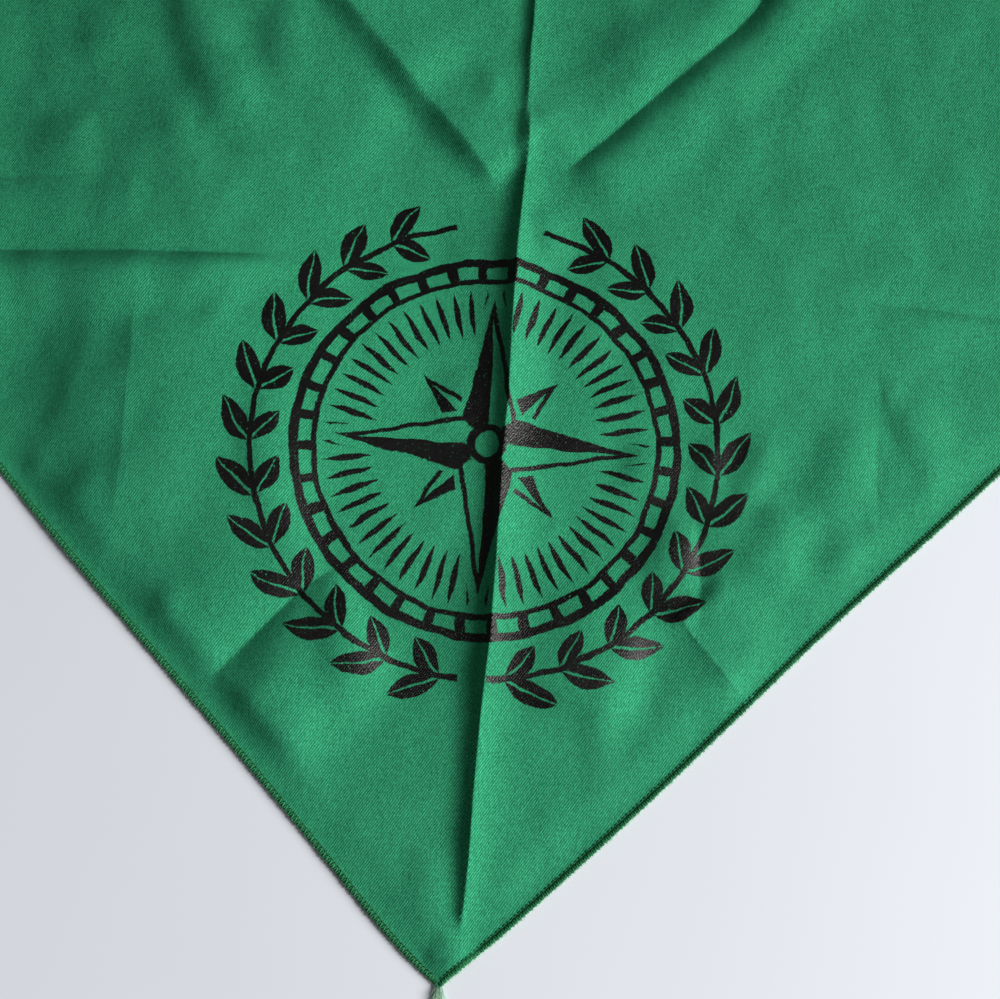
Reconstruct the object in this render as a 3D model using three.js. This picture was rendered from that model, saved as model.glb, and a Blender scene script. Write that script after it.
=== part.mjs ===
// A triangular cotton neckerchief that lies open on a table, in millimetres, with +Z up.
// Its square corner points along -Y, and its long side runs along X. The origin is under the
// middle of the whole piece, on the surface that it lies on.

import * as THREE from "three";

// The cloth
const leg = 700; // each of the two equal sides, measured over the hems
const clothThickness = 1;

// The overlocked hem: thread on both faces of the cloth and round its cut edge
const hemThread = 0.6;
const hemReach = 2.6; // from the outside of the hem to its inner line of stitches
const hemRounding = 0.5;
const clearance = 0.3; // between the cloth, the hems and the tuft

// The tuft of cut thread ends at the square corner
const tuftLength = 5;
const tuftWidth = 1.8;
const tuftThickness = 1.2;

// The folds that were pressed in while the cloth was stored
const foldRise = 3.4; // the height of the sharpest fold
const foldSpread = 17; // how far its slope runs out on its easy side
const foldFade = 25; // the length over which a fold dies away at each end
const flatMargin = 20; // the folds are ironed flat within this distance of an edge
const facetSize = 40; // the widest spacing of the lines that divide the plain cloth
const cornerSnap = 0.5; // a line that passes a corner of a facet this closely goes through it

// Places are shares of the leg, seen from above with the square corner at 0, 0.
// Rises are shares of foldRise. Left and right are the widths of the slopes on the two sides
// of someone who walks from the first end to the second, as shares of foldSpread.
const folds = {
  centre: { from: [0.0093, 0.013], to: [0.0093, 0.7], rise: 1, left: 0.26, right: 1, shape: ridge },
  leftArm: { from: [0.0093, 0.361], to: [-0.3357, 0.706], rise: 0.6, left: 0.32, right: 0.95, shape: ridge },
  rightArm: { from: [0.0093, 0.344], to: [0.3713, 0.706], rise: 0.4, left: 0.95, right: 0.95, shape: valley },
  leftCross: { from: [-0.126, 0.114], to: [-0.044, 0.196], rise: 0.32, left: 0.8, right: 0.8, shape: valley },
  rightCross: { from: [0.136, 0.12], to: [0.072, 0.184], rise: 0.34, left: 0.35, right: 0.9, shape: ridge },
  level: { from: [-0.31, 0.316], to: [-0.085, 0.316], rise: 0.26, left: 0.6, right: 0.6, shape: valley },
};

// Worked out from the sizes above
const halfWidth = leg * Math.SQRT1_2; // half the long side, and the height over the square corner
const hemHeight = 2 * hemThread + 2 * clearance + clothThickness;
const clothInset = hemThread + clearance; // from the outside of the hem to the cut edge
const clothLift = hemThread + clearance; // the cut edge stands this high, on the hem
const liftedBand = hemReach + clearance; // the cloth is level out here, inside the hem
const slopeLines = [0.35, 1]; // the lines that divide each slope, as shares of its width
const middleY = (halfWidth - tuftLength - clearance) / 2;

function smooth(t) {
  const x = THREE.MathUtils.clamp(t, 0, 1);
  return x * x * (3 - 2 * x);
}

// A sharp crest whose slopes ease out. Zero is the line of the fold and one is the end of its slope.
function ridge(t) {
  return (1 - t) ** 2;
}

// Two shoulders with a sharp bottom between them, which touches the table.
function valley(t) {
  const shoulder = 1 / 3;
  return (t * (1 - t) ** 2) / (shoulder * (1 - shoulder) ** 2);
}

// The three sides, as lines whose normal points into the cloth, and the corners that they join.
const corners = {
  square: new THREE.Vector2(0, 0),
  right: new THREE.Vector2(halfWidth, halfWidth),
  left: new THREE.Vector2(-halfWidth, halfWidth),
};
const sides = [
  { name: "hem_right", from: "square", to: "right", fromAngle: Math.PI / 2, toAngle: Math.PI / 4 },
  { name: "hem_top", from: "right", to: "left", fromAngle: Math.PI / 4, toAngle: Math.PI / 4 },
  { name: "hem_left", from: "left", to: "square", fromAngle: Math.PI / 4, toAngle: Math.PI / 2 },
].map((side) => ({ ...side, line: lineThrough(corners[side.from], corners[side.to]) }));

// A line from one point to another. Its normal points to the left of the way along it.
function lineThrough(from, to) {
  const along = to.clone().sub(from).normalize();
  const normal = new THREE.Vector2(-along.y, along.x);
  return { from, along, normal, length: from.distanceTo(to), offset: normal.dot(from) };
}

function distanceFrom(line, point) {
  return line.normal.dot(point) - line.offset;
}

function shifted(line, distance) {
  return { ...line, offset: line.offset + distance };
}

const foldLines = Object.values(folds).map((fold) => ({
  ...fold,
  line: lineThrough(
    new THREE.Vector2(...fold.from).multiplyScalar(leg),
    new THREE.Vector2(...fold.to).multiplyScalar(leg),
  ),
}));

// The height of one fold above the table at a point of the cloth.
function foldHeight(fold, point) {
  const across = distanceFrom(fold.line, point);
  const width = foldSpread * (across > 0 ? fold.left : fold.right);
  const reach = Math.abs(across) / width;
  if (reach >= 1) return 0;
  const along = point.clone().sub(fold.line.from).dot(fold.line.along);
  const fade = smooth(along / foldFade) * smooth((fold.line.length - along) / foldFade);
  return foldRise * fold.rise * fold.shape(reach) * fade;
}

// The height of the cloth's underside. It touches the table except at its folds and its hems.
function undersideHeight(point) {
  const fromEdge = Math.min(...sides.map((side) => distanceFrom(side.line, point)));
  const inward = smooth((fromEdge - liftedBand) / (flatMargin - liftedBand));
  const folded = foldLines.reduce((sum, fold) => sum + foldHeight(fold, point), 0);
  return clothLift * (1 - inward) + folded * inward;
}

// Divides the facets that a line crosses. Facets share their corners, so their edges still meet.
function score(sheet, line) {
  const side = sheet.points.map((point) => {
    const distance = distanceFrom(line, point);
    return Math.abs(distance) < cornerSnap ? 0 : Math.sign(distance);
  });
  const crossings = new Map();
  const crossing = (i, j) => {
    const key = `${Math.min(i, j)} ${Math.max(i, j)}`;
    if (!crossings.has(key)) {
      const [a, b] = [sheet.points[i], sheet.points[j]];
      const share = distanceFrom(line, a) / (distanceFrom(line, a) - distanceFrom(line, b));
      crossings.set(key, sheet.points.length);
      sheet.points.push(a.clone().lerp(b, share));
      side.push(0);
    }
    return crossings.get(key);
  };
  sheet.facets = sheet.facets.flatMap((facet) => {
    const halves = { behind: [], ahead: [] };
    facet.forEach((corner, n) => {
      const next = facet[(n + 1) % facet.length];
      if (side[corner] <= 0) halves.behind.push(corner);
      if (side[corner] >= 0) halves.ahead.push(corner);
      if (side[corner] * side[next] < 0) {
        const middle = crossing(corner, next);
        halves.behind.push(middle);
        halves.ahead.push(middle);
      }
    });
    const pieces = Object.values(halves).filter((half) => half.some((corner) => side[corner] !== 0));
    return pieces.length ? pieces : [facet];
  });
}

// The point where two lines meet.
function meeting(one, other) {
  const share = distanceFrom(other, one.from) / one.along.dot(other.normal);
  return one.from.clone().addScaledVector(one.along, -share);
}

// A line moved sideways with its starting point, so that it can be met by another.
function inset(line, distance) {
  return { ...shifted(line, distance), from: line.from.clone().addScaledVector(line.normal, distance) };
}

// The cloth seen from above, divided along its edges and its folds into flat facets.
function scoredSheet() {
  const edges = sides.map((side) => inset(side.line, clothInset));
  const outline = edges.map((edge, n) => meeting(edge, edges[(n + 1) % edges.length]));
  const sheet = { points: outline, facets: [outline.map((_, n) => n)] };
  for (const fold of foldLines) score(sheet, fold.line);
  for (const fold of foldLines) {
    for (const share of slopeLines) {
      score(sheet, shifted(fold.line, share * fold.left * foldSpread));
      score(sheet, shifted(fold.line, -share * fold.right * foldSpread));
    }
  }
  for (const side of sides) {
    score(sheet, shifted(side.line, liftedBand));
    score(sheet, shifted(side.line, (liftedBand + flatMargin) / 2));
    score(sheet, shifted(side.line, flatMargin));
    const depth = Math.max(...Object.values(corners).map((corner) => distanceFrom(side.line, corner)));
    const spaces = Math.ceil((depth - flatMargin) / facetSize);
    for (let n = 1; n < spaces; n += 1) {
      score(sheet, shifted(side.line, flatMargin + (n * (depth - flatMargin)) / spaces));
    }
  }
  return sheet;
}

// A closed body whose underside follows the cloth's height and whose top lies one thickness above it.
function thickened(sheet) {
  const count = sheet.points.length;
  const heights = sheet.points.map(undersideHeight);
  const positions = [0, clothThickness].flatMap((rise) =>
    sheet.points.flatMap((point, n) => [point.x, point.y, heights[n] + rise]),
  );
  const triangles = [];
  const edges = new Set(
    sheet.facets.flatMap((facet) => facet.map((corner, n) => `${corner} ${facet[(n + 1) % facet.length]}`)),
  );
  for (const facet of sheet.facets) {
    for (let n = 1; n < facet.length - 1; n += 1) {
      const [a, b, c] = [facet[0], facet[n], facet[n + 1]];
      triangles.push(a, c, b, a + count, b + count, c + count);
    }
    facet.forEach((a, n) => {
      const b = facet[(n + 1) % facet.length];
      if (!edges.has(`${b} ${a}`)) triangles.push(a, b, b + count, a, b + count, a + count);
    });
  }
  const geometry = new THREE.BufferGeometry();
  geometry.setAttribute("position", new THREE.Float32BufferAttribute(positions, 3));
  geometry.setIndex(triangles);
  geometry.computeVertexNormals();
  return geometry;
}

// The section of a hem, open towards the cloth. Its first number runs inwards and its second up.
const hemSection = [
  [hemRounding, 0],
  [hemReach, 0],
  [hemReach, hemThread],
  [hemThread, hemThread],
  [hemThread, hemHeight - hemThread],
  [hemReach, hemHeight - hemThread],
  [hemReach, hemHeight],
  [hemRounding, hemHeight],
  [0, hemHeight - hemRounding],
  [0, hemRounding],
].map(([inward, up]) => new THREE.Vector2(inward, up));

// One hem along X, with its cloth on the +Y side and both ends mitred to half their corner's angle.
function hemGeometry(length, fromAngle, toAngle) {
  const count = hemSection.length;
  const mitre = (inward, angle) => inward / Math.tan(angle / 2) + clearance / 2 / Math.sin(angle / 2);
  const ends = [
    (inward) => mitre(inward, fromAngle),
    (inward) => length - mitre(inward, toAngle),
  ];
  const positions = ends.flatMap((end) => hemSection.flatMap((p) => [end(p.x), p.x, p.y]));
  const triangles = [];
  for (const [a, b, c] of THREE.ShapeUtils.triangulateShape(hemSection, [])) {
    triangles.push(a, c, b, a + count, b + count, c + count);
  }
  for (let a = 0; a < count; a += 1) {
    const b = (a + 1) % count;
    triangles.push(a, b, b + count, a, b + count, a + count);
  }
  const geometry = new THREE.BufferGeometry();
  geometry.setAttribute("position", new THREE.Float32BufferAttribute(positions, 3));
  geometry.setIndex(triangles);
  geometry.computeVertexNormals();
  return geometry;
}

// A flat tapered lock of thread, from its root at the origin along +Y.
function tuftGeometry() {
  const sidesOfTuft = 10;
  const profile = [
    [0, 0],
    [0.8, 0],
    [1, 0.25],
    [0.7, 0.7],
    [0.3, 1],
    [0, 1],
  ].map(([width, length]) => new THREE.Vector2((width * tuftWidth) / 2, length * tuftLength));
  const geometry = new THREE.LatheGeometry(profile, sidesOfTuft);
  return geometry.scale(1, 1, tuftThickness / tuftWidth);
}

const cloth = new THREE.MeshStandardMaterial({ color: 0x2d8660, roughness: 0.9, metalness: 0 });
const thread = new THREE.MeshStandardMaterial({ color: 0x1f6b3c, roughness: 0.8, metalness: 0 });

const neckerchief = new THREE.Group();

function addPiece(name, geometry, material) {
  const mesh = new THREE.Mesh(geometry, material);
  mesh.name = name;
  neckerchief.add(mesh);
  return mesh;
}

const panel = addPiece("cloth_panel", thickened(scoredSheet()), cloth.clone());
panel.position.set(0, -middleY, 0);

for (const side of sides) {
  const { from, along, length } = side.line;
  const hem = addPiece(side.name, hemGeometry(length, side.fromAngle, side.toAngle), thread.clone());
  hem.position.set(from.x, from.y - middleY, 0);
  hem.rotation.z = Math.atan2(along.y, along.x);
}

const tuft = addPiece("thread_tuft", tuftGeometry(), thread.clone());
tuft.position.set(0, -middleY - clearance, hemHeight / 2);
tuft.rotation.z = Math.PI;

export default neckerchief;
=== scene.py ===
import math

import bpy
import numpy as np
from mathutils import Matrix, Vector
from mathutils.geometry import delaunay_2d_cdt


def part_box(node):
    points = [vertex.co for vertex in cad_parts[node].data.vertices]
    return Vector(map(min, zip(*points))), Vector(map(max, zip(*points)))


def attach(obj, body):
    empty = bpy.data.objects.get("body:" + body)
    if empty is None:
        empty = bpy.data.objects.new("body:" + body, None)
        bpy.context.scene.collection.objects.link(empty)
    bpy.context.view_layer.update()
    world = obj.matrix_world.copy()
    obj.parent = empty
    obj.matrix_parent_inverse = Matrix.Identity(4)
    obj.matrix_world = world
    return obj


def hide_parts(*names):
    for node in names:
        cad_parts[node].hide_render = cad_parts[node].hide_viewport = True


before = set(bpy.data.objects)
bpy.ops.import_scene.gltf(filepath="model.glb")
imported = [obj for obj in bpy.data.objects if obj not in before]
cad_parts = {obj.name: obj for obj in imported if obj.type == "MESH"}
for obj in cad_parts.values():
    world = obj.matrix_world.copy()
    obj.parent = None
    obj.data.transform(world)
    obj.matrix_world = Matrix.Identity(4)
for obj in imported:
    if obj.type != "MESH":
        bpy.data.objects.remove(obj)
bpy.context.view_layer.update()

# The cloth: one layer of green cotton twill, cut as a right-angled triangle and pressed into folds
# while it was stored. It lies open, so it touches the table all over except along the folds and
# where its edges lift. Lengths are in millimetres from the square corner, seen from above.

MM = 0.001
far_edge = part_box("hem_top")[1].y
first_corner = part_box("hem_right")[0]
corner_y = first_corner.y - first_corner.x  # where the outer lines of the two short hems meet
height = (far_edge - corner_y) / MM
leg = height * math.sqrt(2)  # a short side

cloth_thickness = 0.42
cloth_rest = 0.3  # the middle of the cloth over the table
hem_rest = 0.5  # the same at its edges, which lie on the thread of the hems
hem_slope = 9  # the width over which the cloth comes down from its hem
cut_edge = 0.5  # from the outside of a hem to the edge of the cloth inside it
corner_pull, corner_reach = 2.6, 16.5  # how far the square corner has crept inwards, and over what width
hem_press = 0.08  # the share of its height that a fold keeps at a hem
press_start, press_width = 1, 13  # where it begins to grow to all of it, and over what width


def smooth(t):
    """Goes from 0 to 1 and eases at both ends."""
    t = np.clip(t, 0, 1)
    return t * t * (3 - 2 * t)


def ridge(t):
    """A sharp crest whose slope eases out."""
    return (1 - t) ** 2.5


def scarp(t):
    """A sharp crest over an even slope."""
    return (1 - t) ** 1.6


def crease(t):
    """The same with a crest worn a little round."""
    worn = 0.12
    return scarp((np.sqrt(t * t + worn * worn) - worn) / (math.sqrt(1 + worn * worn) - worn))


def valley(t):
    """A sharp bottom beside a soft shoulder."""
    shoulder = 0.3
    up = 1 - (1 - np.minimum(t / shoulder, 1)) ** 1.6
    down = swell(np.maximum(t - shoulder, 0) / (1 - shoulder))
    return np.where(t < shoulder, up, down)


def swell(t):
    """A soft round fold."""
    return (1 - t * t) ** 2


def fold(path, rise, left, right, shape, fade):
    """A fold along a path, whose points are shares of the short side, some with the share of its
    full size that it has there. Its rise on its two sides, their widths and the length of its
    fading ends are in mm. The left side is the one on the left of the way along it."""
    path = np.array([(*point, 1)[:3] for point in path])
    return {"path": path[:, :2] * leg, "sizes": path[:, 2], "rise": np.broadcast_to(rise, 2),
            "left": left, "right": right, "shape": shape, "fade": fade}


# The paths of the two short folds across the corner.
left_cross = [(-0.1115, 0.1203), (-0.0895, 0.1455), (-0.0699, 0.1674), (-0.0534, 0.1794)]
right_cross = [(0.1270, 0.1277), (0.1130, 0.1432), (0.1007, 0.1565), (0.0924, 0.1683)]

# The sharp folds: the middle one in two lengths, its two arms, the two short ones across the corner,
# three level ones and three steep ones. The paths of the level ones run to the right, and those of
# all the others run upwards, away from the square corner.
sharp_folds = [
    fold([(0.0080, 0.0230, 0.3), (0.0087, 0.0377, 0.45), (0.0094, 0.0560, 0.65), (0.0097, 0.0850, 0.9),
          (0.0107, 0.1189), (0.0125, 0.1493), (0.0132, 0.1848), (0.0130, 0.2304), (0.0142, 0.2585),
          (0.0138, 0.2919), (0.0141, 0.3311), (0.0155, 0.3612, 0.75), (0.0168, 0.3805, 0.3),
          (0.0160, 0.4000, 0.25)], 3.6, 9, 16.5, ridge, 9),
    fold([(0.0140, 0.3880, 0.5), (0.0150, 0.4100, 0.6), (0.0147, 0.4284), (0.0153, 0.4443),
          (0.0155, 0.4605), (0.0140, 0.5500, 0.8), (0.0120, 0.7040, 0.4)], 2.1, 5.6, 17, ridge, 15),
    fold([(0.0060, 0.3590, 0.5), (-0.0008, 0.3662, 0.7), (-0.0092, 0.3763), (-0.0267, 0.3957),
          (-0.0517, 0.4213), (-0.0754, 0.4472), (-0.0863, 0.4588), (-0.3360, 0.7020, 0.4)],
         4.3, 9, 70, crease, 10),
    fold([(0.0313, 0.3681), (0.0404, 0.3763), (0.0518, 0.3871), (0.0679, 0.4034), (0.0832, 0.4191),
          (0.0989, 0.4347), (0.1134, 0.4492), (0.1222, 0.4599), (0.1285, 0.4713), (0.3700, 0.7050, 0.4)],
         (2.1, 3.0), 32, 27, valley, 12),
    fold(left_cross, (2.1, 4.2), 42, 46, valley, 10),
    fold(right_cross, 2.3, 18, 26, scarp, 5),
    fold([(-0.3100, 0.3125), (-0.2263, 0.3140), (-0.1752, 0.3149), (-0.1264, 0.3158, 0.7),
          (-0.0700, 0.3177, 0.3)], (1.2, 5.0), 60, 28, valley, 40),
    fold([(-0.3400, 0.3470), (-0.2311, 0.3490), (-0.1795, 0.3514), (-0.1500, 0.3530)],
         (0.8, 1.8), 27, 35, valley, 60),
    fold([(0.1650, 0.3160), (0.1962, 0.3139), (0.2311, 0.3118), (0.3000, 0.3080)], 1.3, 32, 14, valley, 24),
    fold([(0.1856, 0.1920), (0.1824, 0.2134), (0.1819, 0.2410), (0.1827, 0.2716)], 0.45, 22, 26, valley, 20),
    fold([(0.1033, 0.1540), (0.1041, 0.1770), (0.1037, 0.1904), (0.0998, 0.2151)], 0.9, 16, 26, valley, 12),
    fold([(-0.1557, 0.1830), (-0.1542, 0.2150), (-0.1548, 0.2617), (-0.1564, 0.3025)],
         2.8, 36, 70, scarp, 18),
]

# The soft folds: broad waves of the cloth, and small dents and crumples. Their paths run upwards.
soft_folds = [
    fold([(-0.0290, 0.3980), (-0.0420, 0.4112), (-0.0560, 0.4258)], 1.6, 8, 40, swell, 13),
    fold([(0.0107, 0.1189), (0.0130, 0.2304), (0.0155, 0.3612)], 1.3, 60, 15, swell, 30),
    fold([(0.0577, 0.1100), (0.0634, 0.1402), (0.0760, 0.1760)], 3.8, 52, 16, swell, 13),
    fold([(-0.1300, 0.1700), (-0.1400, 0.2600), (-0.1500, 0.4200)], 2.7, 60, 66, swell, 50),
    fold([(-0.1172, 0.3726), (-0.1274, 0.3976), (-0.1394, 0.4204), (-0.1493, 0.4490),
          (-0.1600, 0.4950)], 2.6, 12, 16, swell, 20),
    fold([(-0.1849, 0.2248), (-0.1800, 0.2436), (-0.1740, 0.2680)], 1.0, 9, 24, swell, 9),
    fold([(-0.0797, 0.1856), (-0.0852, 0.2102), (-0.0906, 0.2329), (-0.0974, 0.2654)],
         2.0, 12, 13, swell, 20),
    fold([(-0.0395, 0.1120), (-0.0499, 0.1389), (-0.0590, 0.1660)], 1.3, 10, 12, swell, 14),
    fold([(-0.1310, 0.1470), (-0.1230, 0.1680)], 0.8, 7, 7, swell, 6),
    fold([(-0.0760, 0.0880), (-0.0650, 0.1220)], 1.0, 11, 11, swell, 8),
    fold([(-0.0700, 0.0680), (-0.0668, 0.0824)], 0.6, 4.5, 5, swell, 4),
    fold([(-0.1990, 0.2060), (-0.1905, 0.2190)], 0.9, 5, 5, swell, 4),
    fold([(-0.1735, 0.1960), (-0.1645, 0.2135)], 0.6, 7, 7, swell, 5),
    fold([(-0.0195, 0.2390), (0.0000, 0.2740)], 1.0, 8, 12, swell, 9),
    fold([(-0.0005, 0.3950), (-0.0031, 0.4200)], 1.0, 7, 5, swell, 6),
    fold([(0.0332, 0.3220), (0.0246, 0.3540)], 1.2, 6, 9, swell, 7),
    fold([(0.0650, 0.3950), (0.0615, 0.4550)], 0.9, 16, 14, swell, 14),
    fold([(0.0158, 0.3680), (0.0155, 0.4020)], 1.9, 4, 17, swell, 9),
    fold([(-0.0300, 0.3950), (-0.0873, 0.4578), (-0.3375, 0.7005, 0.5)], 2.8, 38, 70, swell, 30),
    fold([(0.1200, 0.3680), (0.1180, 0.4400)], 0.7, 14, 15, swell, 18),
    fold([(0.0710, 0.2133), (0.0820, 0.2464)], 1.1, 8, 14, swell, 10),
    fold([(0.1010, 0.2120), (0.1061, 0.2330), (0.1105, 0.2520)], 0.9, 5, 6, swell, 7),
    fold([(0.1190, 0.2140), (0.1266, 0.2283), (0.1350, 0.2500)], 0.9, 5, 7, swell, 7),
    fold([(0.1246, 0.1783), (0.1362, 0.2015), (0.1458, 0.2203)], 1.8, 11, 13, swell, 9),
    fold([(0.0800, 0.1740), (0.0872, 0.1894), (0.0970, 0.2120)], 1.2, 8, 11, swell, 8),
    fold([(0.2135, 0.2240), (0.2001, 0.2529), (0.1895, 0.2760)], 1.1, 9, 13, swell, 12),
    fold([(0.1380, 0.1747), (0.1488, 0.1955)], 0.9, 8, 9, swell, 7),
    fold([(0.0960, 0.1680), (0.1085, 0.1725), (0.1175, 0.1860)], 0.7, 5, 6, swell, 5),
    fold([(0.1646, 0.1852), (0.1748, 0.2084)], 1.0, 8, 9, swell, 7),
    fold([(0.1530, 0.2030), (0.1655, 0.2354), (0.1790, 0.2660)], 1.1, 12, 13, swell, 14),
    fold([(0.1890, 0.2620), (0.1870, 0.2820)], 0.5, 3.5, 5, swell, 5),
    fold([(0.0650, 0.0940), (0.0610, 0.1310)], 0.6, 7, 9, swell, 9),
    fold([(-0.1260, 0.2770), (-0.1080, 0.3050)], 0.6, 6, 7, swell, 7),
    fold([(-0.0980, 0.3950), (-0.1025, 0.4500)], 1.1, 11, 11, swell, 14),
    fold([(-0.1390, 0.3380), (-0.1455, 0.3870)], 1.0, 10, 11, swell, 11),
    fold([(-0.1840, 0.4020), (-0.1940, 0.4520)], 1.3, 15, 15, swell, 14),
    fold([(-0.1930, 0.3400), (-0.2020, 0.3870)], 1.2, 19, 13, swell, 12),
    fold([(-0.0050, 0.0320), (-0.0095, 0.0640)], 0.6, 8, 9, swell, 9),
    fold([(-0.1748, 0.3240), (-0.1733, 0.3490)], 0.5, 4, 4, swell, 5),
    fold([(-0.1665, 0.3250), (-0.1643, 0.3520)], 0.6, 4, 5, swell, 5),
    fold([(-0.0850, 0.1300), (-0.0930, 0.2486), (-0.1050, 0.3454), (-0.1200, 0.5400)],
         4.8, 88, 62, swell, 60),
]

# Creases so thin that they stay sharp right up to the hem.
thin_creases = [
    fold(right_cross, 0.14, 1.6, 2.6, ridge, 3),
    fold(left_cross[:2], 0.12, 2.6, 2.0, ridge, 4),
]

# Places along the edges where the hem stands off the table: along and across from the square
# corner as shares of the short side, then the width of the place and its rise in mm.
edge_lifts = [
    (0.0052, 0.0145, 9, 2.3),
    (-0.1750, 0.1780, 26, 0.4),
    (0.1300, 0.1330, 20, 0.6),
    (0.2700, 0.2730, 30, 0.9),
    (-0.2900, 0.2930, 34, 1.2),
    (0.1500, 0.7000, 40, 1.4),
    (-0.2300, 0.7000, 36, 1.1),
]

# The unevenness of the cloth between its folds, as rows of soft bumps: their rise, width and length
# in mm, how far they are turned in degrees, and their seed.
uneven_rows = [
    (1.2, 46, 62, 20, 1),
    (1.0, 14, 25, -25, 2),
    (0.5, 8, 14, 10, 3),
    (0.13, 5, 6, 40, 4),
]

square_corner = np.array([0, 0])
right_corner = np.array([height, height])
left_corner = np.array([-height, height])
sway_ends = 12  # the length over which a side's sway begins and ends
sway_depth = 30  # how far in from the edge the cloth sways with it
curl_width, curl_most = 4, 1.2  # how far in an edge's curl goes, and the most of it outside the edge


def side(start, end, sway, sway_start, sway_length, curl):
    """A side of the triangle. Its line sways by some mm, from a distance along it and over a length,
    and its edge curls up by some mm. The cloth is on the left of the way along it."""
    length = float(np.linalg.norm(end - start))
    along = (end - start) / length
    inward = np.array([-along[1], along[0]])
    return {"start": start, "along": along, "inward": inward, "length": length,
            "sway": sway, "sway_start": sway_start, "sway_length": sway_length, "curl": curl}


sides = {
    "hem_right": side(square_corner, right_corner, 0.45, 45, 150, 0.5),
    "hem_top": side(right_corner, left_corner, 0.8, 20, 330, 0.3),
    "hem_left": side(left_corner, square_corner, 0.6, leg - 22, 210, 0.0),
}


def swayed(edge, s):
    """How far a side's line stands out at the distance s from its first corner."""
    turns = (s - edge["sway_start"]) / edge["sway_length"]
    ends = smooth(s / sway_ends) * smooth((edge["length"] - s) / sway_ends)
    return edge["sway"] * np.sin(2 * np.pi * turns) * ends


def from_side(edge, xy):
    """Each point's way along a side and its distance in from it."""
    out = xy - edge["start"]
    return out @ edge["along"], out @ edge["inward"]


def from_path(path, xy):
    """Each point's distance along a path, its distance across to the left, and the path's length."""
    best, along, across = np.full(len(xy), np.inf), np.zeros(len(xy)), np.zeros(len(xy))
    walked = 0.0
    for a, b in zip(path[:-1], path[1:]):
        length = np.linalg.norm(b - a)
        way = (b - a) / length
        out = xy - a
        t = np.clip(out @ way, 0, length)
        away = out - t[:, None] * way
        distance = np.linalg.norm(away, axis=1)
        nearer = distance < best
        left = np.sign(way[0] * out[:, 1] - way[1] * out[:, 0])
        best = np.where(nearer, distance, best)
        along = np.where(nearer, walked + t, along)
        across = np.where(nearer, left * distance, across)
        walked += length
    return along, across, walked


def fold_height(row, xy):
    """How far a fold lifts the cloth at each point."""
    along, across, length = from_path(row["path"], xy)
    lengths = np.concatenate([[0], np.cumsum(np.linalg.norm(np.diff(row["path"], axis=0), axis=1))])
    size = np.interp(along, lengths, row["sizes"])
    t = np.abs(across) / np.where(across > 0, row["left"], row["right"]) / size
    rise = np.where(across > 0, *row["rise"]) * size
    fading = smooth(along / row["fade"]) * smooth((length - along) / row["fade"])
    return np.where(t < 1, rise * row["shape"](np.minimum(t, 1)), 0) * fading


def bumps(xy, across, along, turn, seed):
    """Soft random bumps from 0 to 1, of the given width and length, turned by some degrees."""
    cells = 400
    a = math.radians(turn)
    spin = np.array([[math.cos(a), -math.sin(a)], [math.sin(a), math.cos(a)]])
    p = xy @ spin / np.array([across, along]) + cells / 2
    cell = np.floor(p).astype(int)
    f = p - cell
    f = f * f * f * (f * (f * 6 - 15) + 10)  # eases in and out of each cell
    grid = np.random.default_rng(seed).random((cells, cells))
    corners = [grid[(cell[:, 0] + i) % cells, (cell[:, 1] + j) % cells] for i in (0, 1) for j in (0, 1)]
    low = corners[0] * (1 - f[:, 1]) + corners[1] * f[:, 1]
    high = corners[2] * (1 - f[:, 1]) + corners[3] * f[:, 1]
    return low * (1 - f[:, 0]) + high * f[:, 0]


def cloth_height(xy):
    """The height of the middle of the cloth over the table."""
    edge = np.min([from_side(one, xy)[1] for one in sides.values()], axis=0)
    folded = sum(fold_height(row, xy) for row in sharp_folds + soft_folds)
    uneven = sum(rise * bumps(xy, across, along, turn, seed)
                 for rise, across, along, turn, seed in uneven_rows)
    creased = sum(fold_height(row, xy) for row in thin_creases)
    lifted = sum(rise * swell(np.minimum(np.linalg.norm(xy - np.array([x, y]) * leg, axis=1) / width, 1))
                 for x, y, width, rise in edge_lifts)
    on_hem = (hem_rest - cloth_rest) * (1 - smooth(edge / hem_slope))
    curled = sum(one["curl"] * np.clip(1 - from_side(one, xy)[1] / curl_width, 0, curl_most) ** 2
                 for one in sides.values())
    ironed = hem_press + (1 - hem_press) * smooth((edge - press_start) / press_width)
    return cloth_rest + on_hem + curled + (folded + uneven) * ironed + creased + lifted


def drawn_in(xy):
    """Points in mm, moved inwards where they are near the square corner."""
    drawn = corner_pull * np.exp(-(np.linalg.norm(xy, axis=1) / corner_reach) ** 2)
    return xy + np.column_stack([np.zeros(len(xy)), drawn])


def placed(xy):
    """Points of the cloth, moved with the sway of its edges, in mm."""
    moved = xy.astype(float).copy()
    for edge in sides.values():
        s, inward = from_side(edge, xy)
        moved -= np.outer(swayed(edge, s) * (1 - smooth(inward / sway_depth)), edge["inward"])
    return drawn_in(moved)


def metres(xy, z):
    """Points in mm from the square corner, as points of the frame."""
    return np.column_stack([xy[:, 0] * MM, xy[:, 1] * MM + corner_y, z * MM])


def walk(path, step, offset=0.0):
    """Points spaced along a path, moved to its left by an offset."""
    lengths = np.linalg.norm(np.diff(path, axis=0), axis=1)
    ends = np.concatenate([[0], np.cumsum(lengths)])
    s = np.linspace(0, ends[-1], max(2, int(ends[-1] / step) + 1))
    points = np.column_stack([np.interp(s, ends, path[:, k]) for k in (0, 1)])
    way = np.gradient(points, axis=0)
    way /= np.linalg.norm(way, axis=1)[:, None]
    return points + offset * np.column_stack([-way[:, 1], way[:, 0]])


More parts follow.
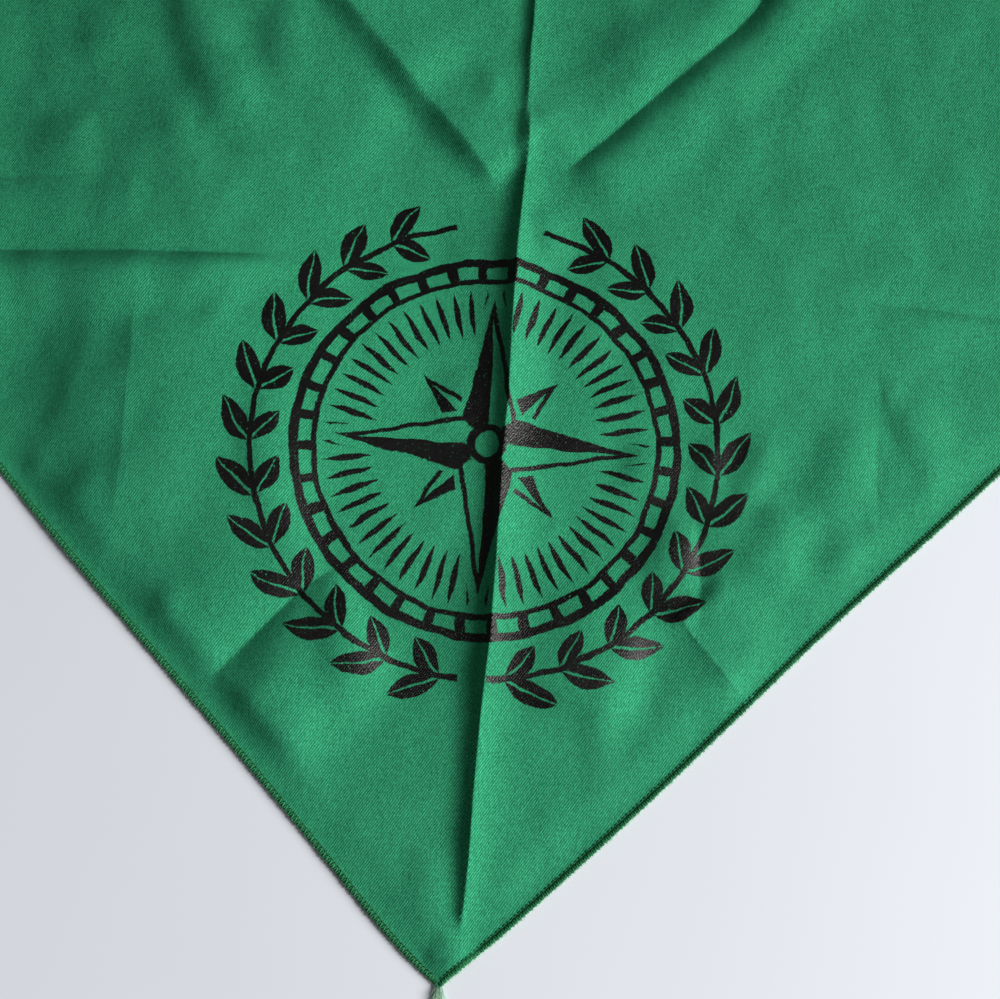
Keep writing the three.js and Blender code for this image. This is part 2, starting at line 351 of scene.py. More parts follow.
# The cloth's mesh is an even grid, with closer rows of points along the edges and the sharp folds.
mesh_step, edge_step, fold_step = 3.15, 2.0, 2.0
edge_rows, edge_row_step, edge_row_slack = [1.3, 2.8, 4.6], 2.4, 0.01
crest_rows = [0.3, 0.7, 1.2, 1.9, 2.8, 4.0, 5.6, 7.6]
crest_margin = 0.6  # how near to the cloth's edge the rows of a fold go
row_growth = 12  # the distance from the crest at which the points of a row stand twice as far apart
edge_gap, row_gap = 0.6 * mesh_step, 0.35 * mesh_step  # from the rows to the grid


def fold_reach(width):
    """How far from the crest of a fold its rows of points go."""
    return width * 1.3 + 1


def cloth_points():
    """The points of the cloth's mesh, and the edges that have to be kept: its outline and its crests."""
    reach = height - cut_edge * (1 + math.sqrt(2))
    inner = [np.array([0, cut_edge * math.sqrt(2)]), np.array([reach, height - cut_edge]),
             np.array([-reach, height - cut_edge])]
    rows, kept, count = [], [], 0

    def add(points, linked=False, closed=False):
        nonlocal count
        rows.append(points)
        if linked:
            ids = list(range(count, count + len(points)))
            kept.extend(zip(ids, ids[1:] + (ids[:1] if closed else [])))
        count += len(points)

    def inside(points, margin):
        distance = np.min([from_side(one, points)[1] for one in sides.values()], axis=0)
        return points[distance > cut_edge + margin]

    outline = [walk(np.array([a, b]), edge_step)[:-1] for a, b in zip(inner, inner[1:] + inner[:1])]
    add(np.concatenate(outline), linked=True, closed=True)
    for offset in edge_rows:
        for one in sides.values():
            ends = np.array([one["start"], one["start"] + one["along"] * one["length"]])
            add(inside(walk(ends, edge_row_step, cut_edge + offset), offset - edge_row_slack))
    for row in sharp_folds:
        add(inside(walk(row["path"], fold_step), crest_margin), linked=True)
        for offset in crest_rows:
            spaced = fold_step * (1 + offset / row_growth)
            for way, width in ((1, row["left"]), (-1, row["right"])):
                if offset < fold_reach(width):
                    add(inside(walk(row["path"], spaced, way * offset), crest_margin))
    across = np.arange(-height, height, mesh_step)
    along = np.arange(0, height, mesh_step * math.sqrt(3) / 2)
    grid = np.array([(x + (n % 2) * mesh_step / 2, y) for n, y in enumerate(along) for x in across])
    grid = inside(grid, edge_rows[-1] + edge_gap)
    for row in sharp_folds:
        _, beside, _ = from_path(row["path"], grid)
        width = np.where(beside > 0, row["left"], row["right"])
        grid = grid[np.abs(beside) > np.minimum(crest_rows[-1], fold_reach(width)) + row_gap]
    add(grid)
    return np.concatenate(rows), kept


def mesh_piece(name, points, faces, materials, material_of_face):
    """A mesh object with smooth shading, from points in metres and the number of each face's material."""
    mesh = bpy.data.meshes.new(name)
    mesh.from_pydata(points.tolist(), [], faces)
    mesh.validate()
    mesh.shade_smooth()
    for one in materials:
        mesh.materials.append(one)
    mesh.polygons.foreach_set("material_index", material_of_face)
    piece = bpy.data.objects.new(name, mesh)
    bpy.context.scene.collection.objects.link(piece)
    return piece


def cloth_mesh():
    """The cloth's corners and faces: its top, then its underside and the walls between them."""
    inner_triangles, same_point = 1, 0.02
    points, kept = cloth_points()
    made = delaunay_2d_cdt([Vector(p) for p in points], kept, [], inner_triangles, same_point)
    xy = np.array([tuple(v) for v in made[0]])
    faces = np.array([f for f in made[2] if len(f) == 3])
    a, b, c = (xy[faces[:, k]] for k in range(3))
    turned = (b[:, 0] - a[:, 0]) * (c[:, 1] - a[:, 1]) - (b[:, 1] - a[:, 1]) * (c[:, 0] - a[:, 0]) < 0
    faces[turned] = faces[turned][:, ::-1]
    z = cloth_height(xy)
    xy = placed(xy)
    count = len(xy)
    both = np.concatenate([metres(xy, z + cloth_thickness / 2), metres(xy, z - cloth_thickness / 2)])
    edges = np.concatenate([faces[:, [0, 1]], faces[:, [1, 2]], faces[:, [2, 0]]])
    keys = edges[:, 0] * count + edges[:, 1]
    rim = edges[~np.isin(keys, edges[:, 1] * count + edges[:, 0])]
    walls = np.concatenate([
        np.column_stack([rim[:, 0], rim[:, 0] + count, rim[:, 1] + count]),
        np.column_stack([rim[:, 0], rim[:, 1] + count, rim[:, 1]]),
    ])
    slots = [0] * len(faces) + [1] * (len(faces) + len(walls))
    return both, np.concatenate([faces, faces[:, ::-1] + count, walls]).tolist(), slots


class Wire:
    """A value in a material's nodes, which can be used in sums."""

    def __init__(self, tree, socket=None):
        self.tree = tree
        self.socket = socket

    def node(self, kind, settings=None, inputs=None, output=0):
        """Adds a node: its settings come first, then the values or links of its sockets."""
        made = self.tree.nodes.new(kind)
        for name, value in (settings or {}).items():
            setattr(made, name, value)
        for name, value in (inputs or {}).items():
            if isinstance(value, Wire):
                self.tree.links.new(value.socket, made.inputs[name])
            else:
                made.inputs[name].default_value = value
        return Wire(self.tree, made.outputs[output] if made.outputs else None)

    def maths(self, operation, *values):
        return self.node("ShaderNodeMath", {"operation": operation}, dict(enumerate(values)))

    def __add__(self, other):
        return self.maths("ADD", self, other)

    def __radd__(self, other):
        return self.maths("ADD", other, self)

    def __sub__(self, other):
        return self.maths("SUBTRACT", self, other)

    def __rsub__(self, other):
        return self.maths("SUBTRACT", other, self)

    def __mul__(self, other):
        return self.maths("MULTIPLY", self, other)

    def __rmul__(self, other):
        return self.maths("MULTIPLY", other, self)

    def __truediv__(self, other):
        return self.maths("DIVIDE", self, other)

    def __rtruediv__(self, other):
        return self.maths("DIVIDE", other, self)

    def __neg__(self):
        return self.maths("MULTIPLY", self, -1)

    def __abs__(self):
        return self.maths("ABSOLUTE", self)

    def least(self, other):
        return self.maths("MINIMUM", self, other)

    def most(self, other):
        return self.maths("MAXIMUM", self, other)

    def clipped(self):
        return self.node("ShaderNodeClamp", {}, {0: self})

    def mixed(self, colour, other):
        """Goes from one colour to another as this value goes from 0 to 1."""
        return self.node("ShaderNodeMix", {"data_type": "RGBA"}, {0: self, 6: colour, 7: other}, 2)

    def place(self):
        """The point of the surface, in the object's own metres."""
        return self.node("ShaderNodeTexCoord", output=3)

    def stretched(self, scales):
        return self.node("ShaderNodeVectorMath", {"operation": "MULTIPLY"}, {0: self, 1: scales})

    def noise(self, place, scale, detail=2.0, roughness=0.5):
        """Noise from 0 to 1, with a mean near a half."""
        inputs = {"Vector": place, "Scale": scale, "Detail": detail, "Roughness": roughness}
        return self.node("ShaderNodeTexNoise", {"noise_dimensions": "3D"}, inputs)


def srgb(r, g, b):
    """A colour given as its values from 0 to 255 on a screen."""
    shares = [value / 255 for value in (r, g, b)]
    linear = [s / 12.92 if s <= 0.04045 else ((s + 0.055) / 1.055) ** 2.4 for s in shares]
    return (*linear, 1.0)


def material(name, look):
    """A material with the surface that look returns."""
    made = bpy.data.materials.new(name)
    made.use_nodes = True
    made.node_tree.nodes.clear()
    paint = Wire(made.node_tree)
    paint.node("ShaderNodeOutputMaterial", {}, {"Surface": look(paint)})
    return made


warp_pitch = 0.27  # between the threads along the height, which cover two picks of three
weft_pitch = 0.405  # between the threads along the long side
weave_repeat = 3  # picks
weave_bend = 0.9  # how far the threads wander
float_reach, float_end = 0.55, 0.45  # how far a float goes each way before it dives, and over what length
float_round = 0.6
float_green = srgb(68, 192, 142)
groove_green = srgb(8, 79, 49)
faded_green = srgb(62, 160, 119)
groove_tone, float_tone, float_unevenness = 0.2, 0.31, 0.42
streak_tone, speckle_tone = 0.34, 0.6
warp_streaks, weft_streaks = (2600, 130, 1), (130, 1700, 1)
speckle_scale = 1500
faded_scale, faded_from, faded_growth, faded_most = 28, 0.45, 1.3, 0.35
painted_shade_from, painted_shade_width, painted_shade_tone = 190, 120, 0.11  # painted shade: the cloth darkens from this distance towards the far edge, standing in for dimmer light there
weave_depth, ink_depth = 0.00008, 0.00012
ink_black = srgb(9, 7, 8)

# The print in mm: a long and a short star, a hub, rays, a ring of squares and a wreath of two sprigs.
turn_round = 2 * math.pi
print_centre = (0.006 * leg, 0.236 * leg)
star_reach, star_waist = 48.0, 8.5
short_reach, short_waist = 31.0, 7.0
star_line = 1.5  # the line round the light halves of a star's points
star_gap, ray_gap = 1.6, 2.6  # the bare cloth round the stars
hub_radius, hub_line, hub_hole = 5.2, 1.2, 4.2
ray_count, ray_radius, ray_reach, ray_width = 56, 43.5, 7.8, 1.0
ring_inner, ring_outer = 54.0, 60.0
ring_inner_line, ring_outer_line = 0.9, 1.4
bar_count, bar_width, bar_reach = 36, 1.5, 2.6
stem_radius, stem_width, stem_end = 73.0, 0.95, 6
sprig_leaves = 12
sprig_start, sprig_end = 0.14, 2.86  # radians from the bottom of the wreath
leaf_length, leaf_width, leaf_turn = 15.5, 3.5, math.radians(38)
outer_leaf = 1.2  # how much longer the leaves outside the stem are, and how much shorter those inside
vein_width, vein_taper = 0.45, 0.35
half_scale = 0.01  # brings the test for a point's half down to about millimetres
ink_wobble, ink_roughness, ink_edge = 2.4, 1.0, 0.28
dry_from, dry_growth = 0.67, 14  # where the ink has missed the cloth


def star(x, y, reach, waist):
    """How far a point lies outside a four-pointed star, and which half of a point it is in."""
    across, up = abs(x), abs(y)
    far, near = across.most(up), across.least(up)
    span = math.hypot(waist, reach - waist)
    outside = (far * waist + near * (reach - waist) - waist * reach) / span
    return outside, x * y * (across - up)


def printed(paint, x, y, place):
    """The ink of the print, from 0 to 1: a compass rose inside a ring and a wreath of leafy sprigs."""
    wobble = paint.noise(place, 90, 1.0) - 0.5
    other = paint.noise(place, 110, 1.0) - 0.5
    x, y = x + wobble * ink_wobble, y + other * ink_wobble
    radius = paint.maths("SQRT", x * x + y * y)
    angle = paint.maths("ARCTAN2", x, y)
    outside, half = star(x, y, star_reach, star_waist)
    dark_half = outside.most(-half * half_scale)
    outline = outside.most(-outside - star_line)
    turned_x, turned_y = (x + y) * math.sqrt(0.5), (y - x) * math.sqrt(0.5)
    short_outside, short_half = star(turned_x, turned_y, short_reach, short_waist)
    short_dark = short_outside.most(-short_half * half_scale)
    short_line = short_outside.most(-short_outside - star_line)
    short_star = short_dark.least(short_line).most(star_gap - outside)
    hub = abs(radius - hub_radius) - hub_line
    rose = dark_half.least(outline).least(short_star).most(hub_hole - radius).least(hub)

    from_ray = abs(paint.maths("FRACT", angle * (ray_count / turn_round)) - 0.5)
    swelling = (radius - ray_radius) / ray_reach
    ray = from_ray * radius * (turn_round / ray_count) - (1 - swelling * swelling) * ray_width
    rays = ray.most(ray_gap - outside).most(ray_gap - short_outside)
    from_bar = abs(paint.maths("FRACT", angle * (bar_count / turn_round)) - 0.5)
    past_bar = abs(radius - (ring_inner + ring_outer) / 2) - bar_reach
    bars = (from_bar * (turn_round / bar_count * ring_inner) - bar_width).most(past_bar)
    inner_line = abs(radius - ring_inner) - ring_inner_line
    outer_line = abs(radius - ring_outer) - ring_outer_line
    ring = inner_line.least(outer_line).least(bars).least(rays)

    climb = paint.maths("ARCTAN2", abs(x), -y)
    cell = (sprig_end - sprig_start) / sprig_leaves
    count = (climb - sprig_start) / cell
    spacing = cell * stem_radius
    along = paint.maths("FRACT", count) * spacing
    from_stem = radius - stem_radius
    length = leaf_length + paint.maths("SIGN", from_stem) * outer_leaf
    beside = abs(from_stem)
    tip = along * math.cos(leaf_turn) + beside * math.sin(leaf_turn)
    across = beside * math.cos(leaf_turn) - along * math.sin(leaf_turn)
    share = tip / length
    leaf = abs(across) - share * (1 - share) * (4 * leaf_width)
    vein = vein_width - abs(across) - share * vein_taper
    ends = (-count).most(count - sprig_leaves) * spacing
    stem = (beside - stem_width).most(ends - stem_end)
    wreath = leaf.most(vein).most(ends).least(stem)

    rough = (paint.noise(place, 900, 3.0, 0.6) - 0.5) * ink_roughness
    dry = (paint.noise(place, speckle_scale, 2.0, 0.7) - dry_from) * dry_growth
    shape = rose.least(ring).least(wreath) + rough
    return (0.5 - shape / ink_edge).clipped() * (1 - dry.clipped())


def twill(paint, x, y, place):
    """The weave: its height, and a tone for each float, both from 0 to 1. Each warp thread runs over
    two weft threads and under the third, one further on than its neighbour."""
    bend = (paint.noise(place, 150, 2.0) - 0.5) * weave_bend
    column = (x + bend) / warp_pitch
    thread = paint.maths("FLOOR", column)
    row = (y + bend) / weft_pitch - thread
    repeat = paint.maths("FLOOR", row / weave_repeat)
    along = row - repeat * weave_repeat
    across = (column - thread - 0.5) * 2
    over = (1 - abs(along - 1).most(float_reach) / float_end + float_reach / float_end).clipped()
    float_id = paint.node("ShaderNodeCombineXYZ", {}, {0: thread, 1: repeat})
    own_tone = paint.node("ShaderNodeTexWhiteNoise", {"noise_dimensions": "2D"}, {"Vector": float_id})
    return over * (1 - across * across * float_round), own_tone


def cotton_look(paint, inked_side=True):
    """Dyed cotton twill: light floats over dark gaps, uneven threads, black ink on one side, and painted
    shade towards the far edge.
    """
    place = paint.place()
    x = paint.node("ShaderNodeSeparateXYZ", {}, {0: place}, 0) / MM
    y = (paint.node("ShaderNodeSeparateXYZ", {}, {0: place}, 1) - corner_y) / MM
    weave, own_tone = twill(paint, x, y, place)
    warp = paint.noise(place.stretched(warp_streaks), 1.0, 2.0)
    weft = paint.noise(place.stretched(weft_streaks), 1.0, 2.0)
    streaks = warp + weft * 0.5 - 0.75
    speckle = paint.noise(place, speckle_scale, 2.0, 0.6)
    # Painted shade: the cloth's colour is darkened towards the far edge, where less light falls.
    painted_shade = ((y - painted_shade_from) / painted_shade_width).clipped() * painted_shade_tone
    tone = (groove_tone + weave * (float_tone + own_tone * float_unevenness) + streaks * streak_tone
            + (speckle - 0.5) * speckle_tone)
    cloth = (tone - painted_shade).clipped().mixed(groove_green, float_green)
    faded = (paint.noise(place, faded_scale, 3.0, 0.55) - faded_from) * faded_growth
    cloth = (faded.clipped() * faded_most).mixed(cloth, faded_green)
    relief = weave * (0.4 + own_tone * 0.6) + (speckle - 0.5) * 0.5
    bump = paint.node("ShaderNodeBump", {}, {"Strength": 0.7, "Distance": weave_depth, "Height": relief})
    dyed = paint.node("ShaderNodeBsdfPrincipled", {}, {
        "Base Color": cloth, "Roughness": 0.95, "Specular IOR Level": 0.12, "Normal": bump})
    if not inked_side:
        return dyed
    ink = printed(paint, x - print_centre[0], y - print_centre[1], place)
    crust = weave * 0.5 + speckle * 1.7
    rough = paint.node("ShaderNodeBump", {}, {"Strength": 0.8, "Distance": ink_depth, "Height": crust})
    inked = paint.node("ShaderNodeBsdfPrincipled", {}, {
        "Base Color": ink_black, "Roughness": 0.3, "Specular IOR Level": 0.26, "Normal": rough})
    return paint.node("ShaderNodeMixShader", {}, {0: ink, 1: dyed, 2: inked})


cotton = material("cotton_twill", cotton_look)
underside_cotton = material("cotton_underside", lambda paint: cotton_look(paint, inked_side=False))
cloth_corners, cloth_faces, cloth_slots = cloth_mesh()
cloth = mesh_piece("cloth", cloth_corners, cloth_faces, [cotton, underside_cotton], cloth_slots)
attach(cloth, "root")
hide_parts("cloth_panel")

# The hems: overlocking with a matching thread. A soft core of thread covers the cut edge, a looper
# thread is wound over it once a stitch, and a line of needle stitches holds both to the cloth.
# The right hem is the fluffiest, so its fibres stand out past the edge as a pale fringe.

stitch = 1.47  # the length of one overlock stitch
hem_width = 1.92  # from the outside of the hem to where the looper threads turn back
hem_follows = (0.1, 2)  # a hem follows the cloth's height between these distances in from its edge
core_top, core_bottom, core_end = 0.42, 0.3, 1.2
stitch_lump, core_unevenness = 0.1, 0.12
looper_radius, lower_radius = 0.2, 0.15
looper_sides, lower_sides, needle_sides, fibre_sides = 5, 4, 4, 3
looper_start, looper_ends, looper_slip = 1.4, 3.5, 0.16
looper_unevenness, thread_unevenness = 0.12, 0.25
sunk_from, sunk_width = 0.8, 0.6  # where a looper thread starts to sink into the core
needle_line, needle_sway, needle_radius = 1.95, 0.05, 0.15
needle_start, needle_ends = 2.4, 5
fibre_radius, fibre_bow, fibre_slant, fibre_ends = 0.055, 0.14, 0.45, 1.5
fibre_roots, fibre_root_heights, fibre_tip_heights = (0.05, 0.5), (-0.15, 0.35), (-0.4, 0.3)
shortest_fibre = 0.35  # as a share of the reach
clump_middle, clump_swing, clump_slip = 0.55, 0.45, 0.7  # the fibres stand in clumps, one to a stitch

# The core's section and the turns of the threads, as rows of named columns. A turn's share is its
# way along one stitch, and way_in is from the outside of the hem.
core_section = [  # way_in, height
    (1.75, 0.2), (1.4, core_top * 0.8), (0.9, core_top), (0.45, core_top * 0.85),
    (0.12, 0.1), (0.4, -core_bottom * 0.8), (1.1, -core_bottom), (1.75, -0.22),
]
upper_turn = [  # share, way_in, height
    (0.00, 1.90, 0.28), (0.14, 1.45, 0.40), (0.28, 0.80, 0.45), (0.40, 0.20, 0.34),
    (0.50, -0.06, 0.04), (0.62, 0.20, 0.30), (0.76, 0.85, 0.40), (0.90, 1.50, 0.37),
]
lower_turn = [  # share, way_in, height
    (0.00, 1.85, -0.28), (0.25, 0.90, -0.36), (0.52, -0.02, -0.06), (0.75, 0.90, -0.36),
]
needle_turn = [  # share, height
    (0.0, -0.25), (0.12, 0.16), (0.35, 0.32), (0.65, 0.32), (0.88, 0.16),
]

# One matching thread in three tones. The darkest is painted shade, used for the core and the needle thread
# where they lie in the shade of the looper turns. The lightest is a painted highlight on the looper thread.
thread_painted_shade = srgb(8, 77, 42)
thread_mid = srgb(21, 109, 62)
thread_painted_highlight = srgb(54, 142, 98)
fluff_dark, fluff_light = srgb(84, 172, 120), srgb(170, 230, 194)
fibre_scale, stitch_scale = 5200, 620
fibre_tone, stitch_tone = 1.3, 1.6
thread_depth = 0.00006


def thread_look(dark, light, glow):
    """A look for spun thread between two tones, with some glow where its fluff catches the light."""
    def look(paint):
        """Fine twisted fibres, uneven in tone from stitch to stitch."""
        place = paint.place()
        fibres = paint.noise(place, fibre_scale, 2.0, 0.7)
        stitches = paint.noise(place, stitch_scale, 1.0)
        tone = ((fibres - 0.5) * fibre_tone + (stitches - 0.5) * stitch_tone + 0.5).clipped()
        bump = paint.node("ShaderNodeBump", {}, {"Strength": 0.8, "Distance": thread_depth, "Height": fibres})
        return paint.node("ShaderNodeBsdfPrincipled", {}, {
            "Base Color": tone.mixed(dark, light), "Roughness": 0.8, "Normal": bump,
            "Specular IOR Level": 0.25, "Sheen Weight": glow, "Sheen Roughness": 0.4})
    return look


# Painted shade on the core and needle thread, and painted highlight on the looper thread, both of the same
# thread.
shaded_core_thread = material("overlock_core_painted_shade", thread_look(thread_painted_shade, thread_mid, 0.1))
lit_looper_thread = material("overlock_looper_painted_highlight", thread_look(thread_mid, thread_painted_highlight, 0.15))
fluff_thread = material("overlock_fluff", thread_look(fluff_dark, fluff_light, 0.2))


def hem_place(edge, s, t, z):
    """Points of a hem, from their way along it, in from it and up from the middle of the cloth."""
    xy = edge["start"] + np.outer(s, edge["along"]) + np.outer(t - swayed(edge, s), edge["inward"])
    flat = edge["start"] + np.outer(s, edge["along"]) + np.outer(np.clip(t, *hem_follows), edge["inward"])
    return metres(drawn_in(xy), cloth_height(flat) + z)


def tube_faces(rings, corners):
    """The walls and the two ends of a tube, from its number of rings and of corners in a ring."""
    ring, corner = np.meshgrid(np.arange(rings - 1), np.arange(corners), indexing="ij")
    a = (ring * corners + corner).ravel()
    b = (ring * corners + (corner + 1) % corners).ravel()
    walls = np.column_stack([a, b, b + corners, a + corners]).tolist()
    return walls + [list(range(corners))[::-1], list(range((rings - 1) * corners, rings * corners))]


def turned_over(faces):
    """The same faces, looking the other way."""
    return [[face[0], *face[:0:-1]] for face in faces]


def tube(path, radius, reference, corners):
    """A closed tube along a path in metres, whose rings are turned by a reference direction."""
    way = np.gradient(path, axis=0)
    way /= np.linalg.norm(way, axis=1)[:, None]
    first = np.cross(way, reference)
    first /= np.linalg.norm(first, axis=1)[:, None]
    second = np.cross(way, first)
    turn = np.arange(corners) * 2 * np.pi / corners
    around = np.cos(turn)[None, :, None] * first[:, None] + np.sin(turn)[None, :, None] * second[:, None]
    rings = path[:, None] + np.broadcast_to(radius, len(path))[:, None, None] * around
    return rings.reshape(-1, 3), tube_faces(len(path), corners)


def joined(parts):
    """Several meshes, each with a material's number, as one."""
    points, faces, slots, count = [], [], [], 0
    for corners, part_faces, slot in parts:
        points.append(corners)
        faces.extend([[i + count for i in face] for face in part_faces])
        slots.extend([slot] * len(part_faces))
        count += len(corners)
    return np.concatenate(points), faces, slots


def hem_core(edge, random):
    """The mass of thread round the cut edge, slightly lumpy at each stitch."""
    s = np.arange(core_end, edge["length"] - core_end, stitch / 3)
    lines = []
    for way_in, z in core_section:
        lump = (1 + stitch_lump * np.sin(2 * np.pi * s / stitch)
                + core_unevenness * (random.random(len(s)) - 0.5))
        t = np.full(len(s), way_in) + core_unevenness * (random.random(len(s)) - 0.5)
        lines.append(hem_place(edge, s, t, z * lump))
    rings = np.stack(lines, axis=1)
    return rings.reshape(-1, 3), turned_over(tube_faces(*rings.shape[:2]))


def hem_looper(edge, turn, radius, corners, sunk, random):
    """A looper thread, which goes out to the edge and back once a stitch. Its inner part may be
    pulled down into the core."""
    turn = np.array(turn)
    count = int((edge["length"] - looper_ends) / stitch)
    starts = looper_start + stitch * (np.arange(count) + looper_slip * (random.random(count) - 0.5))
    reach = 1 + looper_unevenness * (random.random(count) - 0.5)
    s = (starts[:, None] + turn[None, :, 0] * stitch).ravel()
    t = (hem_width - (hem_width - turn[None, :, 1]) * reach[:, None]).ravel()
    z = (turn[None, :, 2] * reach[:, None]).ravel() - sunk * smooth((t - sunk_from) / sunk_width)
    path = hem_place(edge, s, t, z)
    thick = radius * MM * (1 + thread_unevenness * (random.random(len(path)) - 0.5))
    return tube(path, thick, np.array([*edge["along"], 0.0]), corners)


def hem_needle(edge, random):
    """The needle thread: a stitch on the top of the cloth, then a dip through it."""
    turn = np.array(needle_turn)
    count = int((edge["length"] - needle_ends) / stitch)
    s = (needle_start + stitch * np.arange(count)[:, None] + turn[None, :, 0] * stitch).ravel()
    z = np.tile(turn[:, 1], count)
    t = needle_line + needle_sway * (random.random(len(s)) - 0.5)
    return tube(hem_place(edge, s, t, z), needle_radius * MM, np.array([0.0, 0.0, 1.0]), needle_sides)


def fibres(roots, tips, bow, radius, random):
    """Short thin fibres from their roots to their tips, bowed and tapered, with three rings each."""
    shares = np.array([0.0, 0.5, 1.0])
    bent = 4 * shares * (1 - shares)
    bows = random.normal(0, 1, (len(roots), 3)) * bow
    way = tips - roots
    path = roots[:, None] + shares[None, :, None] * way[:, None] + bent[None, :, None] * bows[:, None]
    first = np.cross(way, random.normal(0, 1, (len(roots), 3)))
    first /= np.linalg.norm(first, axis=1)[:, None]
    second = np.cross(way, first)
    second /= np.linalg.norm(second, axis=1)[:, None]
    turn = np.arange(fibre_sides) * 2 * np.pi / fibre_sides
    thick = radius * np.array([1.0, 0.9, 0.4])
    around = np.cos(turn)[None, :, None] * first[:, None] + np.sin(turn)[None, :, None] * second[:, None]
    rings = path[:, :, None] + thick[None, :, None, None] * around[:, None]
    one_tube, tube_corners = tube_faces(len(shares), fibre_sides), len(shares) * fibre_sides
    faces = [[i + n * tube_corners for i in face] for n in range(len(roots)) for face in one_tube]
    return rings.reshape(-1, 3), faces


def hem_fluff(edge, density, reach, random):
    """Loose fibres of the thread that stand out past the edge and lie towards the table."""
    count = int(edge["length"] * density)
    s = np.sort(random.uniform(fibre_ends, edge["length"] - fibre_ends, count))
    clump = clump_middle + clump_swing * np.sin(2 * np.pi * s / stitch + random.normal(0, clump_slip, count))
    out = reach * clump * random.uniform(shortest_fibre, 1.0, count)
    t = random.uniform(*fibre_roots, count)
    roots = hem_place(edge, s, t, random.uniform(*fibre_root_heights, count))
    s = s + random.normal(0, fibre_slant, count)
    tips = hem_place(edge, s, -out, random.uniform(*fibre_tip_heights, count))
    return fibres(roots, tips, fibre_bow * MM, fibre_radius * MM, random)


# Density is in loose fibres to a millimetre, reach is how far they stand out, and sunk is how deep
# the inner part of the upper looper thread is pulled into the core.
hem_rows = {
    "hem_right": {"density": 9.0, "reach": 1.0, "sunk": 0.24, "seed": 11},
    "hem_top": {"density": 1.6, "reach": 0.7, "sunk": 0.1, "seed": 12},
    "hem_left": {"density": 3.0, "reach": 0.55, "sunk": 0.0, "seed": 13},
}

hem_threads = [shaded_core_thread, lit_looper_thread, fluff_thread]
for name, row in hem_rows.items():
    random = np.random.default_rng(row["seed"])
    edge = sides[name]
    parts = [  # points and faces, then the number of their material
        (*hem_core(edge, random), 0),
        (*hem_looper(edge, upper_turn, looper_radius, looper_sides, row["sunk"], random), 1),
        (*hem_looper(edge, lower_turn, lower_radius, lower_sides, 0, random), 1),
        (*hem_needle(edge, random), 0),
        (*hem_fluff(edge, row["density"], row["reach"], random), 2),
    ]
    corners, faces, slots = joined(parts)
    hem = mesh_piece(name + "_stitching", corners, faces, hem_threads, slots)
    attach(hem, "root")
    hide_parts(name)

# The tuft: the thread ends that were left where the overlocking was cut off at the square corner.
# They are frayed, so a few thicker strands lie among many fine fibres.

tuft_seed = 21
tuft_width, tuft_depth = 0.45, (0.2, 1.4)  # where the threads are rooted in the square corner
fan_middle, fan_width = 0.12, 0.28  # in radians
longest = 0.95  # as a share of the tuft's length
root_heights, tip_heights = (0.3, 0.8), (0.08, 0.35)  # over the table
tuft_rows = [
    {"count": 26, "spread": 1.0, "shortest": 0.3, "bow": 0.35, "radius": 0.13},
    {"count": 260, "spread": 1.5, "shortest": 0.35, "bow": 0.3, "radius": 0.035},
]

frayed_dark, frayed_light = srgb(60, 150, 100), srgb(150, 214, 178)
wispy_dark, wispy_light = srgb(132, 198, 160), srgb(214, 240, 224)

frayed_thread = material("frayed_thread", thread_look(frayed_dark, frayed_light, 0.2))
wispy_thread = material("wispy_thread", thread_look(wispy_dark, wispy_light, 0.3))
random = np.random.default_rng(tuft_seed)
tuft_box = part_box("thread_tuft")
tuft_reach = (tuft_box[1].y - tuft_box[0].y) / MM


def tuft_threads(row):
    """Threads that are rooted in the square corner and fan out below it, down to the table."""
    count = row["count"]
    roots = np.column_stack([random.normal(0, tuft_width, count), random.uniform(*tuft_depth, count)])
    reach = tuft_reach * random.uniform(row["shortest"], longest, count)
    fan = random.normal(fan_middle, fan_width, count) * row["spread"]
    tips = np.column_stack([roots[:, 0] + np.sin(fan) * reach, -np.cos(fan) * reach])
    roots = metres(drawn_in(roots), random.uniform(*root_heights, count))
    tips = metres(tips, random.uniform(*tip_heights, count))
    return fibres(roots, tips, row["bow"] * MM, row["radius"] * MM, random)


corners, faces, slots = joined([(*tuft_threads(row), number) for number, row in enumerate(tuft_rows)])
tuft = mesh_piece("tuft_strands", corners, faces, [frayed_thread, wispy_thread], slots)
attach(tuft, "root")
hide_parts("thread_tuft")

# The table that the neckerchief lies on is plain and pale, and isn't part of it. The light is one
# large soft lamp on the right, as from a window, with a dim room round it.

table_size = 6.0
table_drop = 0.0002
table_white = srgb(227, 232, 241)


def table_look(paint):
    """Smooth pale paint, with very faint unevenness."""
    tone = (paint.noise(paint.place(), 9, 2.0) - 0.5) * 0.05 + 1.0
    pale = paint.node("ShaderNodeMix", {"data_type": "RGBA", "blend_type": "MULTIPLY"},
                      {0: 1.0, 6: table_white, 7: tone}, 2)
    return paint.node("ShaderNodeBsdfPrincipled", {}, {
        "Base Color": pale, "Roughness": 0.55, "Specular IOR Level": 0.3})


table_corners = np.array([(x * table_size / 2, y * table_size / 2, -table_drop)
                          for x, y in ((-1, -1), (1, -1), (1, 1), (-1, 1))])
table = mesh_piece("table", table_corners, [[0, 1, 2, 3]], [material("table_paint", table_look)], [0])

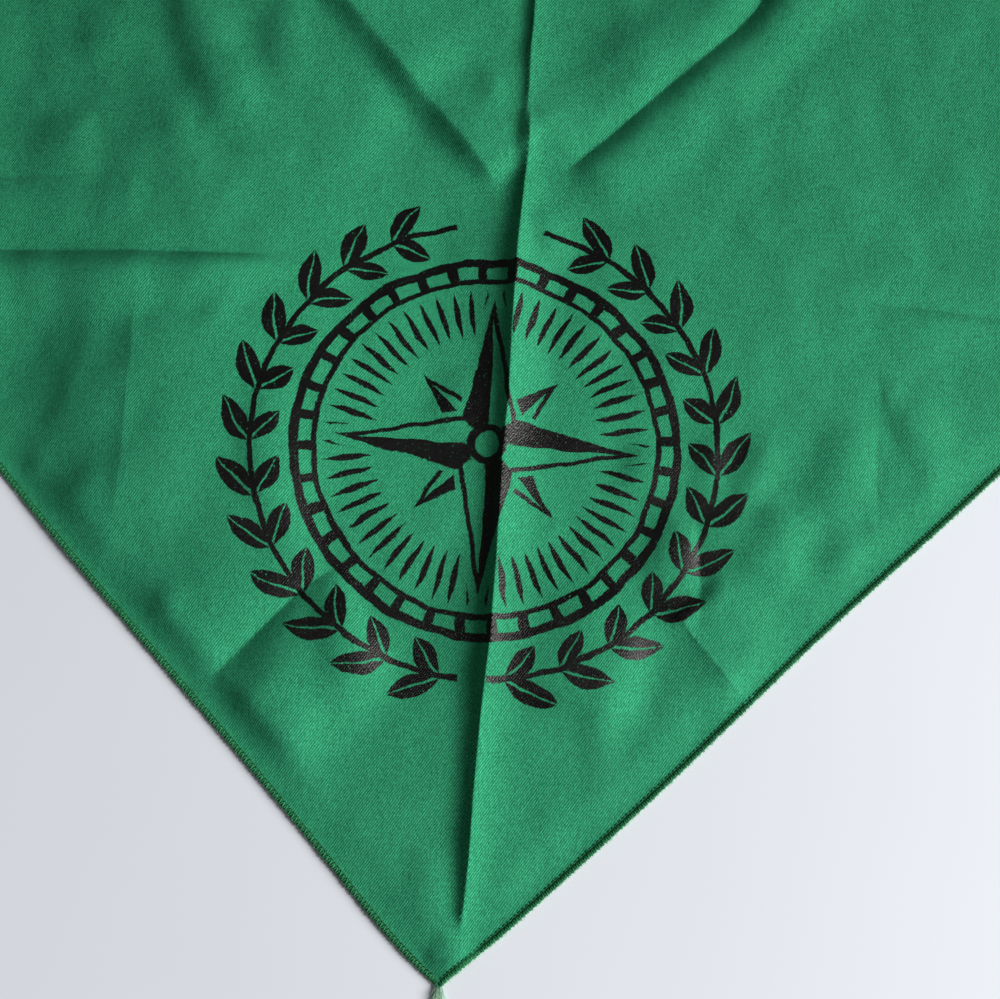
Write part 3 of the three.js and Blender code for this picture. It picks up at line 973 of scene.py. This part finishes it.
lamp_turn, lamp_height = math.radians(-13), math.radians(25)
lamp_distance, lamp_size, lamp_power = 2.9, 1.35, 170.0
lamp_white = (1.0, 0.985, 0.96)
room_white, room_strength = (1.0, 0.98, 0.95, 1.0), 0.105
lamp_aim = Vector((0.0, corner_y + 0.5 * height * MM, 0.0))

lamp_data = bpy.data.lights.new("window", "AREA")
lamp_data.shape = "SQUARE"
lamp_data.size = lamp_size
lamp_data.energy = lamp_power
lamp_data.color = lamp_white
lamp = bpy.data.objects.new("window", lamp_data)
bpy.context.scene.collection.objects.link(lamp)
lamp_way = Vector((math.cos(lamp_turn) * math.cos(lamp_height),
                   math.sin(lamp_turn) * math.cos(lamp_height),
                   math.sin(lamp_height)))
lamp.location = lamp_aim + lamp_way * lamp_distance
lamp.rotation_mode = "QUATERNION"
lamp.rotation_quaternion = lamp_way.to_track_quat("Z", "Y")

world = bpy.data.worlds.new("room")
world.use_nodes = True
world.node_tree.nodes["Background"].inputs["Color"].default_value = room_white
world.node_tree.nodes["Background"].inputs["Strength"].default_value = room_strength
bpy.context.scene.world = world
bpy.context.scene.view_settings.view_transform = "Standard"

# The camera looks down at the square corner from close above, tipped a little towards the far
# edge, and turned a little, as the photo was taken.

camera_distance = 340 * MM
camera_tip = math.radians(9.68)
camera_turn = math.radians(3.54)
camera_width = 315 * MM  # what it sees across at the middle of the picture
camera_aim = Vector((9.3 * MM, corner_y + 148.6 * MM, 0.0))
sensor_width = 36.0

camera_data = bpy.data.cameras.new("camera")
camera_data.sensor_fit = "HORIZONTAL"
camera_data.sensor_width = sensor_width
camera_data.lens = sensor_width * camera_distance / camera_width
camera_data.clip_start = 0.01
camera = bpy.data.objects.new("camera", camera_data)
bpy.context.scene.collection.objects.link(camera)
back = Vector((0.0, -math.sin(camera_tip), math.cos(camera_tip)))
camera.matrix_world = (
    Matrix.Translation(camera_aim + back * camera_distance)
    @ Matrix.Rotation(camera_tip, 4, "X")
    @ Matrix.Rotation(camera_turn, 4, "Z")
)
bpy.context.scene.camera = camera
